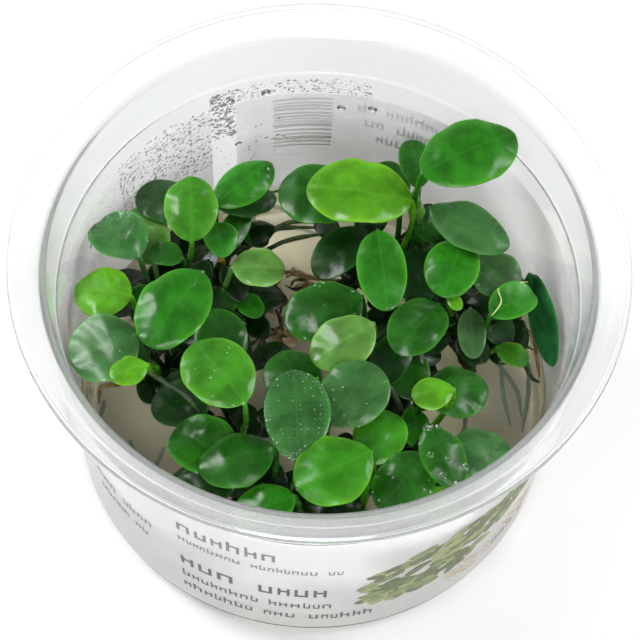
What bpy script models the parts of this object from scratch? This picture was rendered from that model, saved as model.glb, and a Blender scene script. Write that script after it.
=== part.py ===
"""Coin-leaf anubias plantlets on nutrient gel in a clear tissue-culture cup with a wrap label.

Metres, +Z up. The origin is the middle of the cup's base, on the surface that it stands on.
"""

import math

import bmesh
import bpy
from mathutils import Matrix, Vector

MM = 0.001
COLLECTION = "Anubias_Cup"

# Cup: a thin-walled turned shell with a stacking collar and a wide rim.
CUP_HEIGHT = 58.0
WALL = 0.8
BASE_RADIUS = 41.2
SHOULDER_RADIUS = 43.8
SHOULDER_HEIGHT = 46.8
COLLAR_RADIUS = 45.2
COLLAR_TOP = 54.6
RIM_RADIUS = 50.5
STEP_RADIUS = 47.6
LIP_DEPTH = 1.2
CUP_SIDES = 44

# Label: one sheet round the wall, with a clear strip left between its two ends.
LABEL_BOTTOM = 2.5
LABEL_TOP = 41.2
LABEL_THICKNESS = 0.3
LABEL_GAP_START = 112.3
LABEL_GAP_END = 118.7
LABEL_SIDES = 40

# Gel: a disc of set nutrient gel that creeps a little up the wall.
GEL_TOP = 14.0
MENISCUS = 0.5

GAP = 0.3

# Plants.
RHIZOME_RADIUS = 1.3
PETIOLE_RADIUS = 0.5
PETIOLE_SWING = 0.06
BLADE_THICKNESS = 0.7
BLADE_ARCH = 0.07
FOOT_HEIGHT = GEL_TOP + GAP + 2.0 * RHIZOME_RADIUS + GAP + 0.2
PETIOLE_STATIONS = (0.0, 0.3, 0.6, 0.85)
BLADE_STATIONS = (0.0, 0.05, 0.17, 0.36, 0.6, 0.82, 0.95, 1.0)
FOOT_PINCH = 0.14
TIP_RADIUS = 0.3

# Each plantlet has the line of its rhizome on the gel, as (x, y), and its leaves.
# A leaf has its petiole's foot (x, y), the middle of its blade (x, y, z), the way that its tip
# points and its pitch and roll in degrees, then the blade's length and width. Sizes are in mm.
PLANTLETS = {
    "left_back": (
        ((-30, 8), (-26, 12), (-23, 16)),
        (
            ((-23.5, 15.5), (-27.5, 23.5, 34), 160, -5, 0, 11, 9),
            ((-25, 13), (-22.5, 18, 41), 95, 10, 0, 12, 9.5),
            ((-28.5, 9.5), (-34.5, 13, 38), 135, -10, 0, 11, 10),
            ((-27, 11), (-30.5, 17, 33), 110, 0, 0, 12, 9),
        ),
    ),
    "left": (
        ((-30, -5.5), (-26, -1), (-22, 3.5)),
        (
            ((-27.5, -2.5), (-36.5, 3.5, 36), 170, -5, 0, 10, 10),
            ((-29.5, -5), (-35, -9.5, 40), 205, -10, 0, 12, 13),
            ((-22.5, 3), (-23.5, -3.5, 44), 240, -5, 0, 16, 12),
            ((-25, 0), (-28.5, 4.7, 31), 165, 5, 0, 10, 6),
        ),
    ),
    "back": (
        ((-17, 9), (-18, 15), (-18, 22)),
        (
            ((-18, 18.5), (-14, 25.5, 38), 45, 0, 0, 13, 8),
            ((-18, 21), (-13.5, 27, 30), 20, -10, 0, 11, 7),
            ((-18, 15.5), (-17.5, 15, 36), 285, 10, 0, 8, 6),
            ((-17, 10), (-10.5, 10.5, 35), 5, -5, 0, 9, 8),
        ),
    ),
    "middle_left": (
        ((-13, -6), (-14, -11), (-12, -18)),
        (
            ((-13, -7.5), (-16, -3, 34), 120, 10, 0, 11, 9),
            ((-14, -11), (-22, -13, 29), 195, -10, 0, 11, 9),
            ((-12.2, -16.8), (-15.5, -15, 44), 130, 0, 0, 14, 12),
        ),
    ),
    "front_left": (
        ((-12, -24), (-6, -26), (0, -29)),
        (
            ((-11.5, -24.5), (-17, -27.5, 27), 205, -10, 0, 11, 9),
            ((-9, -25.3), (-17.5, -23, 33), 150, -5, 0, 12, 11),
            ((-6.5, -26), (-12, -26.5, 36), 195, -10, 0, 13, 10),
            ((-3.8, -27.2), (-2.5, -21.5, 43), 95, 5, 0, 16, 11),
            ((-1, -28.7), (-7, -34, 33), 205, -10, 0, 11, 8),
        ),
    ),
    "front": (
        ((0, -18), (7, -22), (9.5, -31)),
        (
            ((1, -18.5), (-3.5, -11, 36), 110, 0, 0, 11, 10),
            ((4, -20.5), (6.5, -16, 41), 55, 5, 0, 13, 11.5),
            ((9.3, -30.7), (8, -35, 28), 200, -10, 0, 12, 7),
            ((9, -28.5), (4, -31.5, 44), 210, -5, 0, 13.5, 12.5),
            ((8, -25.3), (11.5, -22.3, 38), 65, 5, 0, 10, 9),
        ),
    ),
    "front_right": (
        ((16, -13), (18, -19), (21, -26)),
        (
            ((16.5, -14.5), (24, -11.5, 35), 15, -5, 0, 11, 10),
            ((17.8, -18.5), (21.5, -27, 42), 300, -15, 0, 11, 7.5),
            ((19.5, -22.5), (15.5, -30, 38), 230, -10, 0, 12, 10),
            ((21, -25.5), (28.2, -23.5, 36), 15, -10, 0, 11, 10.5),
        ),
    ),
    "middle": (
        ((8, 6), (11, 1), (17, -1)),
        (
            ((8, 5), (1, 1.5, 37), 205, -5, 0, 14, 11),
            ((9.8, 2.5), (4.5, -6, 40), 215, -10, 0, 12, 10),
            ((12.5, 0.3), (13, -4.5, 32), 245, -10, 0, 10, 7),
            ((16, -0.7), (17, -2, 39), 235, 0, 0, 12, 9.5),
        ),
    ),
    "right": (
        ((22, 15), (25, 9), (28, 3)),
        (
            ((22.6, 13.9), (22.5, 9, 41), 255, 0, 0, 12, 9.5),
            ((24.4, 10.7), (30, 11.5, 35), 315, -5, 0, 10, 9),
            ((25.9, 7.8), (31, 7.5, 25), 305, -10, 0, 9, 6),
            ((27.7, 3.7), (33, 5.5, 36), 35, -5, 0, 9, 7),
        ),
    ),
    "far_right": (
        ((33, 15), (35, 12.5), (36, 9)),
        (((34.3, 12.9), (38.5, 5.5, 31), 285, -10, 60, 17, 7),),
    ),
    "middle_back": (
        ((4, 22), (9, 19.5), (14, 18.5)),
        (
            ((5, 21.5), (-1, 24, 38), 165, -5, 0, 14, 12.5),
            ((8, 20.2), (3.5, 16, 32), 225, -10, 0, 12, 8),
            ((13, 18.7), (6, 19.5, 46), 175, 0, 0, 18, 13),
            ((10.5, 19.2), (10.5, 6, 44), 280, -15, 0, 14, 8.5),
        ),
    ),
    "right_back": (
        ((16.5, 14.5), (19, 19), (16.5, 24)),
        (
            ((16.9, 15.5), (17, 11.5, 33), 275, -10, 0, 11, 7),
            ((17.8, 18.5), (25, 16, 43), 335, -5, 0, 15, 9),
            ((17.2, 22.2), (24, 25, 52), 30, 0, 0, 18, 13),
        ),
    ),
}

COLOURS = {
    "cup": (0.86, 0.88, 0.87, 0.15),
    "label": (0.9, 0.9, 0.88, 0.6),
    "gel": (0.62, 0.58, 0.45, 0.2),
    "rhizome": (0.2, 0.13, 0.06, 0.7),
    "leaf": (0.06, 0.16, 0.03, 0.35),
}


def clear_scene():
    for obj in list(bpy.data.objects):
        bpy.data.objects.remove(obj, do_unlink=True)


def make_materials():
    materials = {}
    for name, (red, green, blue, roughness) in COLOURS.items():
        material = bpy.data.materials.new(name)
        material.use_nodes = True
        shader = material.node_tree.nodes["Principled BSDF"]
        shader.inputs["Base Color"].default_value = (red, green, blue, 1.0)
        shader.inputs["Roughness"].default_value = roughness
        shader.inputs["Metallic"].default_value = 0.0
        materials[name] = material
    return materials


def add_object(name, data, material, collection):
    obj = bpy.data.objects.new(name, data)
    data.materials.append(material)
    collection.objects.link(obj)
    return obj


def mesh_of_line(name, points):
    """A mesh of joined edges, which a Screw modifier turns."""
    mesh = bpy.data.meshes.new(name)
    edges = [(i, i + 1) for i in range(len(points) - 1)]
    mesh.from_pydata([Vector(p) * MM for p in points], edges, [])
    return mesh


def turn(obj, steps, angle=2.0 * math.pi):
    screw = obj.modifiers.new("Turn", "SCREW")
    screw.axis = "Z"
    screw.angle = angle
    screw.steps = steps
    screw.render_steps = steps
    screw.use_merge_vertices = True
    screw.merge_threshold = 0.00001
    screw.use_smooth_shade = False


def wall_radius(height):
    """The cup's outer radius below the shoulder."""
    share = height / SHOULDER_HEIGHT
    return BASE_RADIUS + (SHOULDER_RADIUS - BASE_RADIUS) * share


def cup_profile():
    """Half of the cup's section: over the floor, up the inside, over the rim, down the outside."""
    floor = WALL
    inside = [
        (0.0, floor),
        (wall_radius(floor) - WALL - 1.2, floor),
        (wall_radius(2.0) - WALL, 2.2),
        (SHOULDER_RADIUS - WALL, SHOULDER_HEIGHT + 0.2),
        (SHOULDER_RADIUS - WALL + 0.35, SHOULDER_HEIGHT + 0.6),
        (COLLAR_RADIUS - WALL, COLLAR_TOP + 0.6),
    ]
    rim = [
        (COLLAR_RADIUS + 0.2, 56.3),
        (STEP_RADIUS, 57.0),
        (STEP_RADIUS + 0.3, 57.4),
        (RIM_RADIUS - 0.4, CUP_HEIGHT),
        (RIM_RADIUS, CUP_HEIGHT - 0.3),
        (RIM_RADIUS, CUP_HEIGHT - LIP_DEPTH),
        (RIM_RADIUS - WALL, CUP_HEIGHT - LIP_DEPTH),
        (RIM_RADIUS - WALL, CUP_HEIGHT - WALL - 0.1),
        (STEP_RADIUS + 0.5, 56.5),
        (COLLAR_RADIUS + 0.5, 55.6),
    ]
    outside = [
        (COLLAR_RADIUS, COLLAR_TOP),
        (SHOULDER_RADIUS + 0.35, SHOULDER_HEIGHT),
        (SHOULDER_RADIUS, SHOULDER_HEIGHT - 0.4),
        (wall_radius(1.0), 1.0),
        (BASE_RADIUS - 1.0, 0.0),
        (0.0, 0.0),
    ]
    return [(radius, 0.0, height) for radius, height in inside + rim + outside]


def make_cup(materials, collection):
    cup = add_object("cup", mesh_of_line("cup", cup_profile()), materials["cup"], collection)
    turn(cup, CUP_SIDES)


def make_label(materials, collection):
    """A tapered sheet turned most of the way round the wall, then given its thickness."""
    low = (wall_radius(LABEL_BOTTOM) + GAP, 0.0, LABEL_BOTTOM)
    high = (wall_radius(LABEL_TOP) + GAP, 0.0, LABEL_TOP)
    label = add_object("label", mesh_of_line("label", (high, low)), materials["label"], collection)
    label.rotation_euler.z = math.radians(LABEL_GAP_END)
    turn(label, LABEL_SIDES, math.radians(360.0 - LABEL_GAP_END + LABEL_GAP_START))
    skin = label.modifiers.new("Sheet", "SOLIDIFY")
    skin.thickness = LABEL_THICKNESS * MM
    skin.offset = 1.0


def make_gel(materials, collection):
    edge = wall_radius(GEL_TOP) - WALL - GAP
    profile = (
        (0.0, 0.0, GEL_TOP),
        (edge - 2.5, 0.0, GEL_TOP),
        (edge - 0.5, 0.0, GEL_TOP + MENISCUS),
        (edge, 0.0, GEL_TOP + MENISCUS),
        (wall_radius(3.0) - WALL - GAP, 0.0, 3.0),
        (wall_radius(3.0) - WALL - 2.0, 0.0, WALL + GAP),
        (0.0, 0.0, WALL + GAP),
    )
    gel = add_object("gel", mesh_of_line("gel", profile), materials["gel"], collection)
    turn(gel, CUP_SIDES)


def make_tube(name, points, radius, material, collection):
    """A round rod with filled ends along a run of points."""
    curve = bpy.data.curves.new(name, "CURVE")
    curve.dimensions = "3D"
    curve.bevel_depth = radius * MM
    curve.bevel_resolution = 2
    curve.use_fill_caps = True
    spline = curve.splines.new("POLY")
    spline.points.add(len(points) - 1)
    for spot, point in zip(spline.points, points):
        spot.co = (*(Vector(point) * MM), 1.0)
    return add_object(name, curve, material, collection)


def bent_line(points, count):
    """Points along a smooth bend that starts at the first point, leans to the second and ends at the last."""
    first, middle, last = (Vector(p) for p in points)
    line = []
    for i in range(count):
        t = i / (count - 1)
        line.append(first * (1 - t) ** 2 + middle * 2 * t * (1 - t) + last * t ** 2)
    return line


def half_width(share, width):
    """Half of the blade's width at a share of its length: a round coin drawn in a little at its foot."""
    return width * math.sqrt(share * (1.0 - share)) * (1.0 - FOOT_PINCH * (1.0 - share) ** 4)


def leaf_stations(foot, middle, heading, pitch, length, width):
    """Centres and half widths of the leaf's sections, from the foot of its petiole to its tip."""
    turn_angle = math.radians(heading)
    pitch_angle = math.radians(pitch)
    forward = Vector((math.cos(turn_angle), math.sin(turn_angle), 0.0)) * math.cos(pitch_angle)
    forward.z = math.sin(pitch_angle)
    start = Vector(middle) - forward * length / 2
    ground = Vector((foot[0], foot[1], FOOT_HEIGHT))
    rise = start.z - ground.z
    lean = ground + Vector((0.0, 0.0, 0.5 * rise))
    stoop = start - forward * PETIOLE_SWING * rise - Vector((0.0, 0.0, 0.3 * rise))
    centres = []
    widths = []
    for t in PETIOLE_STATIONS:
        near = ground * (1 - t) ** 3 + lean * 3 * t * (1 - t) ** 2
        centres.append(near + stoop * 3 * t ** 2 * (1 - t) + start * t ** 3)
        widths.append(PETIOLE_RADIUS)
    for share in BLADE_STATIONS:
        bow = 4.0 * BLADE_ARCH * length * share * (1.0 - share)
        centres.append(start + forward * length * share + Vector((0.0, 0.0, bow)))
        widths.append(max(half_width(share, width), PETIOLE_RADIUS if share < 0.5 else TIP_RADIUS))
    return centres, widths


def leaf_mesh(name, foot, middle, heading, pitch, roll, length, width):
    """A loft of six-sided sections: a round petiole that flattens into an arched blade."""
    centres, widths = leaf_stations(foot, middle, heading, pitch, length, width)
    turn_angle = math.radians(heading)
    level = Vector((-math.sin(turn_angle), math.cos(turn_angle), 0.0))
    origin = centres[0]
    mesh = bpy.data.meshes.new(name)
    bm = bmesh.new()
    rings = []
    for i, (centre, half) in enumerate(zip(centres, widths)):
        along = (centres[min(i + 1, len(centres) - 1)] - centres[max(i - 1, 0)]).normalized()
        across = (level - along * level.dot(along)).normalized()
        if i >= len(PETIOLE_STATIONS):
            across = Matrix.Rotation(math.radians(roll), 3, along) @ across
        up = along.cross(across)
        thick = PETIOLE_RADIUS if i < len(PETIOLE_STATIONS) else BLADE_THICKNESS / 2
        ring = []
        for side, rise in ((1, 0), (0.5, 1), (-0.5, 1), (-1, 0), (-0.5, -1), (0.5, -1)):
            spot = centre - origin + across * half * side + up * thick * rise
            ring.append(bm.verts.new(spot * MM))
        rings.append(ring)
    for first, second in zip(rings, rings[1:]):
        for i in range(6):
            j = (i + 1) % 6
            bm.faces.new((first[i], first[j], second[j], second[i]))
    bm.faces.new(reversed(rings[0]))
    bm.faces.new(rings[-1])
    bmesh.ops.recalc_face_normals(bm, faces=bm.faces)
    bm.to_mesh(mesh)
    bm.free()
    return mesh, origin


def make_plantlet(name, line, leaves, materials, collection):
    height = GEL_TOP + GAP + RHIZOME_RADIUS
    points = [(x, y, height) for x, y in line]
    make_tube(f"rhizome_{name}", bent_line(points, 5), RHIZOME_RADIUS, materials["rhizome"], collection)
    for number, leaf in enumerate(leaves, start=1):
        leaf_name = f"leaf_{name}_{number}"
        mesh, origin = leaf_mesh(leaf_name, *leaf)
        blade = add_object(leaf_name, mesh, materials["leaf"], collection)
        blade.location = origin * MM


def main():
    clear_scene()
    collection = bpy.data.collections.new(COLLECTION)
    bpy.context.scene.collection.children.link(collection)
    materials = make_materials()
    make_cup(materials, collection)
    make_label(materials, collection)
    make_gel(materials, collection)
    for name, (line, leaves) in PLANTLETS.items():
        make_plantlet(name, line, leaves, materials, collection)


main()
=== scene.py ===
"""Looks of the anubias plantlets in their culture cup. Metres, +Z up, built round the fixed frame."""

import math
import random

import bmesh
import bpy
from mathutils import Matrix, Vector, noise


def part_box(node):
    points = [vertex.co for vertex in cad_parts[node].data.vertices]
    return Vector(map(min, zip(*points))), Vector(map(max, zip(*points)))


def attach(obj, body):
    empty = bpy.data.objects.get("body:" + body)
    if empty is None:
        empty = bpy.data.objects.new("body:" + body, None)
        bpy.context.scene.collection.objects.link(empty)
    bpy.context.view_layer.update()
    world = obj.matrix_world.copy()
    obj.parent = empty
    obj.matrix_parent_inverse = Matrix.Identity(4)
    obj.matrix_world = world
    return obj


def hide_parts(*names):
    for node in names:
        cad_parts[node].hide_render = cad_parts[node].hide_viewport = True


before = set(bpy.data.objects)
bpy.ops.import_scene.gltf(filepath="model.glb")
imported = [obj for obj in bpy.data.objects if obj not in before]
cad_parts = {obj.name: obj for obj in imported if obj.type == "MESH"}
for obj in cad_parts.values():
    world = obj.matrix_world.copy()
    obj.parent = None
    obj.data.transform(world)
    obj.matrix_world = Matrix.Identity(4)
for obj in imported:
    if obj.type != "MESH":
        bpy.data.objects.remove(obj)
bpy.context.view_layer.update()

MM = 0.001
CUP_LOW, CUP_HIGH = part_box("cup")
LABEL_LOW, LABEL_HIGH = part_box("label")
GEL_LOW, GEL_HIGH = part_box("gel")

# Cup, in millimetres. Its height and rim come from the frame.
CUP_HEIGHT = CUP_HIGH.z / MM
RIM_RADIUS = CUP_HIGH.x / MM
WALL = 0.8
BASE_RADIUS = 41.2
SHOULDER_RADIUS = 43.8
SHOULDER_HEIGHT = 46.8
COLLAR_RADIUS = 45.2
COLLAR_TOP = 54.6
STEP_RADIUS = 47.6
LIP_DEPTH = 1.2
CUP_SIDES = 192

LABEL_BOTTOM = LABEL_LOW.z / MM
LABEL_TOP = LABEL_HIGH.z / MM
LABEL_GAP_START = 112.3
LABEL_GAP_END = 118.7
LABEL_SIDES = 240
PAPER_LIFT = 0.1
PAPER_THICKNESS = 0.12

# Ink is a thin block, a hair off the outside of the paper or between the paper and the wall.
INK_THICKNESS = 0.03
OUTER_INK_LIFT = PAPER_LIFT + PAPER_THICKNESS + 0.01
INNER_INK_LIFT = 0.04

MENISCUS = 0.5
GEL_TOP = GEL_HIGH.z / MM - MENISCUS
GEL_SIDES = 128
GEL_CLEARANCE = 0.05
GAP = 0.3

RHIZOME_RADIUS = 1.3
RHIZOME_SINK = 0.4
RHIZOME_STEPS = 24
RHIZOME_SIDES = 16
PETIOLE_RADIUS = 0.5
PETIOLE_SWING = 0.06
BLADE_ARCH = 0.07
VEIN_MAP_MIDDLE = 20.0
FOOT_HEIGHT = GEL_TOP + GAP + 2.0 * RHIZOME_RADIUS + GAP + 0.2

# Each plantlet has the line of its rhizome on the gel, as (x, y), and its leaves. A leaf has its
# petiole's foot (x, y), the middle of its blade (x, y, z), the way that its tip points and its
# pitch and roll in degrees, the blade's length and width, its colour, and how far its edges
# curl, as a share of its half width: down where that is below nought. Sizes are in mm.
PLANTLETS = {
    "left_back": (
        ((-30, 8), (-26, 12), (-23, 16)),
        (
            ((-23.5, 15.5), (-27.5, 23.5, 34), 160, -5, 0, 11, 9, "dark", -0.15),
            ((-25, 13), (-22.5, 18, 41), 95, 10, 0, 12, 9.5, "fresh", -0.25),
            ((-28.5, 9.5), (-34.5, 13, 38), 135, -10, 0, 11, 10, "wet_painted_gloss", 0.1),
            ((-27, 11), (-30.5, 17, 33), 110, 0, 0, 12, 9, "pale", -0.1),
        ),
    ),
    "left": (
        ((-30, -5.5), (-26, -1), (-22, 3.5)),
        (
            ((-27.5, -2.5), (-36.5, 3.5, 36), 170, -5, 0, 10, 10, "lime", -0.15),
            ((-29.5, -5), (-35, -9.5, 40), 205, -10, 0, 12, 13, "painted_sheen", -0.1),
            ((-22.5, 3), (-23.5, -3.5, 44), 240, -5, 0, 16, 12, "green", -0.2),
            ((-25, 0), (-28.5, 4.7, 31), 165, 5, 0, 10, 6, "deep", -0.1),
        ),
    ),
    "back": (
        ((-17, 9), (-18, 15), (-18, 22)),
        (
            ((-18, 18.5), (-14, 25.5, 38), 45, 0, 0, 13, 8, "green", -0.3),
            ((-18, 21), (-13.5, 27, 30), 20, -10, 0, 11, 7, "dark", -0.1),
            ((-18, 15.5), (-17.5, 15, 36), 285, 10, 0, 8, 6, "green", 0.3),
            ((-17, 10), (-10.5, 10.5, 35), 5, -5, 0, 9, 8, "pale", -0.1),
        ),
    ),
    "middle_left": (
        ((-13, -6), (-14, -11), (-12, -18)),
        (
            ((-13, -7.5), (-16, -3, 34), 120, 10, 0, 11, 9, "deep", -0.1),
            ((-14, -11), (-22, -13, 29), 195, -10, 0, 11, 9, "dark", -0.1),
            ((-12.2, -16.8), (-15.5, -15, 44), 130, 0, 0, 14, 12, "fresh", -0.2),
        ),
    ),
    "front_left": (
        ((-12, -24), (-6, -26), (0, -29)),
        (
            ((-11.5, -24.5), (-17, -27.5, 27), 205, -10, 0, 11, 9, "dark", 0.0),
            ((-9, -25.3), (-17.5, -23, 33), 150, -5, 0, 12, 11, "deep", 0.05),
            ((-6.5, -26), (-12, -26.5, 36), 195, -10, 0, 13, 10, "deep", -0.2),
            ((-3.8, -27.2), (-2.5, -21.5, 43), 95, 5, 0, 16, 11, "wet_painted_gloss", -0.15),
            ((-1, -28.7), (-7, -34, 33), 205, -10, 0, 11, 8, "green", -0.1),
        ),
    ),
    "front": (
        ((0, -18), (7, -22), (9.5, -31)),
        (
            ((1, -18.5), (-3.5, -11, 36), 110, 0, 0, 11, 10, "deep", -0.1),
            ((4, -20.5), (6.5, -16, 41), 55, 5, 0, 13, 11.5, "painted_sheen", -0.15),
            ((9.3, -30.7), (8, -35, 28), 200, -10, 0, 12, 7, "dark", 0.0),
            ((9, -28.5), (4, -31.5, 44), 210, -5, 0, 13.5, 12.5, "bright", -0.2),
            ((8, -25.3), (11.5, -22.3, 38), 65, 5, 0, 10, 9, "bright", -0.1),
        ),
    ),
    "front_right": (
        ((16, -13), (18, -19), (21, -26)),
        (
            ((16.5, -14.5), (24, -11.5, 35), 15, -5, 0, 11, 10, "deep", -0.1),
            ((17.8, -18.5), (21.5, -27, 42), 300, -15, 0, 11, 7.5, "deep", -0.3),
            ((19.5, -22.5), (15.5, -30, 38), 230, -10, 0, 12, 10, "deep", -0.15),
            ((21, -25.5), (28.2, -23.5, 36), 15, -10, 0, 11, 10.5, "painted_sheen", -0.1),
        ),
    ),
    "middle": (
        ((8, 6), (11, 1), (17, -1)),
        (
            ((8, 5), (1, 1.5, 37), 205, -5, 0, 14, 11, "deep", -0.15),
            ((9.8, 2.5), (4.5, -6, 40), 215, -10, 0, 12, 10, "pale", -0.1),
            ((12.5, 0.3), (13, -4.5, 32), 245, -10, 0, 10, 7, "dark", 0.3),
            ((16, -0.7), (17, -2, 39), 235, 0, 0, 12, 9.5, "deep", 0.1),
        ),
    ),
    "right": (
        ((22, 15), (25, 9), (28, 3)),
        (
            ((22.6, 13.9), (22.5, 9, 41), 255, 0, 0, 12, 9.5, "green", -0.2),
            ((24.4, 10.7), (30, 11.5, 35), 315, -5, 0, 10, 9, "painted_grey_gloss", 0.0),
            ((25.9, 7.8), (31, 7.5, 25), 305, -10, 0, 9, 6, "dark", 0.0),
            ((27.7, 3.7), (33, 5.5, 36), 35, -5, 0, 9, 7, "green", 0.15),
        ),
    ),
    "far_right": (
        ((33, 15), (35, 12.5), (36, 9)),
        (((34.3, 12.9), (38.5, 5.5, 31), 285, -10, 60, 17, 7, "water", 0.0),),
    ),
    "middle_back": (
        ((4, 22), (9, 19.5), (14, 18.5)),
        (
            ((5, 21.5), (-1, 24, 38), 165, -5, 0, 14, 12.5, "deep", -0.1),
            ((8, 20.2), (3.5, 16, 32), 225, -10, 0, 12, 8, "dark", 0.1),
            ((13, 18.7), (6, 19.5, 46), 175, 0, 0, 18, 13, "lime", -0.15),
            ((10.5, 19.2), (10.5, 6, 44), 280, -15, 0, 14, 8.5, "green", 0.2),
        ),
    ),
    "right_back": (
        ((16.5, 14.5), (19, 19), (16.5, 24)),
        (
            ((16.9, 15.5), (17, 11.5, 33), 275, -10, 0, 11, 7, "dark", 0.1),
            ((17.8, 18.5), (25, 16, 43), 335, -5, 0, 15, 9, "painted_sheen", -0.2),
            ((17.2, 22.2), (24, 25, 52), 30, 0, 0, 18, 13, "green", -0.25),
        ),
    ),
}

# Leaves too small, or too well hidden, to have a solid of their own.
SMALL_LEAVES = (
    ((-27, -3), (-30.5, -14, 41), 205, 0, 0, 6.5, 5.5, "lime", -0.2),
    ((-25, 2), (-26.5, 11.5, 36), 170, 0, 0, 6, 5, "deep", 0.2),
    ((-19, 17), (-15, 22, 28), 70, 10, 0, 8, 5, "deep", 0.3),
    ((-17, 20), (-12, 22.5, 26), 330, -10, 0, 6, 4.5, "deep", 0.0),
    ((-17, 11), (-16.5, 8, 27), 250, -10, 0, 6, 5, "deep", 0.0),
    ((-16, 12), (-12, 8, 26), 320, 0, 0, 6, 4.5, "green", 0.2),
    ((18, -16), (19.5, -15.5, 42), 195, 0, 0, 7, 6, "lime", -0.2),
    ((15, 0), (16.5, -5, 28), 270, -10, 0, 9, 7, "deep", 0.0),
    ((17, -14), (17.5, -16, 30), 280, 0, 0, 8, 5, "green", 0.1),
    ((13, 19), (11, 29, 35), 120, 0, 0, 9, 8, "deep", 0.0),
    ((15, 22), (15.5, 31.5, 38), 100, 0, 0, 10, 6, "deep", 0.0),
    ((18, 17), (22, 18, 36), 345, 0, 0, 12, 6, "deep", 0.0),
    ((26, 8), (26.5, 1.5, 32), 275, -10, 0, 9, 5, "painted_grey_gloss", 0.0),
    ((28, 4), (34, 1, 26), 330, 0, 0, 6, 4.5, "fresh", 0.1),
    ((18, -22), (20, -32, 36), 20, 0, 0, 6, 4, "lime", 0.0),
    ((24, 9), (23, 3, 40), 300, 0, 0, 3.5, 2.5, "lime", 0.0),
    ((-18, 15), (-20, 17.6, 27), 160, 0, 0, 6, 4, "yellow", 0.2),
    ((20, -20), (21.5, -31, 33), 20, 0, 0, 7, 5, "bright", 0.0),
)

LEAF_COLOURS = {
    # name: (body, margin, vein) as linear colours; the margin colour, 1.3 times as bright, also makes the
    # painted highlight along each leaf's very edge
    # A very dark green, darker than any lit leaf, for the crowded small leaves under the canopy: it paints
    # the shade among them.
    "shade": ((0.004, 0.02, 0.002), (0.008, 0.04, 0.004), (0.008, 0.03, 0.005)),
    "dark": ((0.008, 0.04, 0.006), (0.02, 0.09, 0.012), (0.02, 0.08, 0.015)),
    # This grey-green, lighter than the deep greens, paints the greyish sheen of glossy leaves into their
    # colour.
    "painted_sheen": ((0.03, 0.11, 0.025), (0.06, 0.19, 0.04), (0.06, 0.17, 0.04)),
    "water": ((0.012, 0.1, 0.025), (0.03, 0.16, 0.04), (0.04, 0.15, 0.05)),
    "yellow": ((0.5, 0.36, 0.03), (0.6, 0.45, 0.06), (0.55, 0.4, 0.05)),
    "deep": ((0.01, 0.082, 0.004), (0.03, 0.17, 0.01), (0.03, 0.14, 0.015)),
    # Wet leaves: the drops are modelled, and this greyer green also paints their silvery sheen into the
    # leaf's colour.
    "wet_painted_gloss": ((0.022, 0.1, 0.018), (0.04, 0.17, 0.03), (0.06, 0.18, 0.045)),
    # This grey-green paints a greyish sheen into the leaf's colour.
    "painted_grey_gloss": ((0.03, 0.09, 0.024), (0.06, 0.16, 0.04), (0.08, 0.17, 0.06)),
    "green": ((0.014, 0.14, 0.004), (0.05, 0.26, 0.012), (0.05, 0.22, 0.02)),
    "bright": ((0.024, 0.17, 0.004), (0.08, 0.3, 0.012), (0.07, 0.26, 0.02)),
    "fresh": ((0.035, 0.19, 0.008), (0.1, 0.32, 0.02), (0.08, 0.28, 0.03)),
    "lime": ((0.065, 0.25, 0.006), (0.14, 0.38, 0.015), (0.13, 0.36, 0.03)),
    "pale": ((0.08, 0.22, 0.035), (0.17, 0.36, 0.07), (0.17, 0.34, 0.08)),
}

BARK_SKINS = {
    # finish: (material, dark and light linear colours, roughness)
    "rhizome": ("rhizome_skin", (0.012, 0.012, 0.004), (0.06, 0.05, 0.018), 0.6),
    "olive_root": ("olive_root", (0.01, 0.03, 0.004), (0.035, 0.08, 0.012), 0.35),
    "ochre_root": ("ochre_root", (0.16, 0.09, 0.02), (0.42, 0.28, 0.1), 0.5),
    "gel_root": ("gel_root", (0.01, 0.1, 0.06), (0.03, 0.16, 0.1), 0.5),
    "debris": ("old_tissue", (0.4, 0.24, 0.08), (0.75, 0.6, 0.38), 0.6),
}

INKS = {
    # finish: (material, linear colour)
    "black_ink": ("black_ink", (0.09, 0.09, 0.1)),
    "grey_ink": ("grey_ink", (0.22, 0.22, 0.23)),
    "faint_ink": ("faint_ink", (0.58, 0.57, 0.55)),
    "leaf_ink_1": ("leaf_ink_dark", (0.13, 0.16, 0.07)),
    "leaf_ink_2": ("leaf_ink_mid", (0.22, 0.27, 0.11)),
    "leaf_ink_3": ("leaf_ink_pale", (0.33, 0.37, 0.17)),
    "ochre_ink": ("ochre_ink", (0.6, 0.48, 0.28)),
}


# ---------------------------------------------------------------- node groups and materials


def new_group(name, inputs, outputs):
    """A shader node group with the given sockets, and its two end nodes."""
    group = bpy.data.node_groups.new(name, "ShaderNodeTree")
    for label, kind, value in inputs:
        socket = group.interface.new_socket(label, in_out="INPUT", socket_type=kind)
        socket.default_value = value
    for label, kind in outputs:
        group.interface.new_socket(label, in_out="OUTPUT", socket_type=kind)
    start = group.nodes.new("NodeGroupInput")
    end = group.nodes.new("NodeGroupOutput")
    return group, start, end


def math_node(nodes, links, kind, first, second=None, third=None):
    node = nodes.new("ShaderNodeMath")
    node.operation = kind
    for socket, value in zip(node.inputs, (first, second, third)):
        if value is None:
            continue
        if hasattr(value, "links"):
            links.new(value, socket)
        else:
            socket.default_value = value
    return node.outputs[0]


def blend_colours(nodes, links, share, first, second):
    node = nodes.new("ShaderNodeMix")
    node.data_type = "RGBA"
    for socket, value in ((node.inputs[0], share), (node.inputs[6], first), (node.inputs[7], second)):
        if hasattr(value, "links"):
            links.new(value, socket)
        else:
            socket.default_value = value
    return node.outputs[2]


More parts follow.
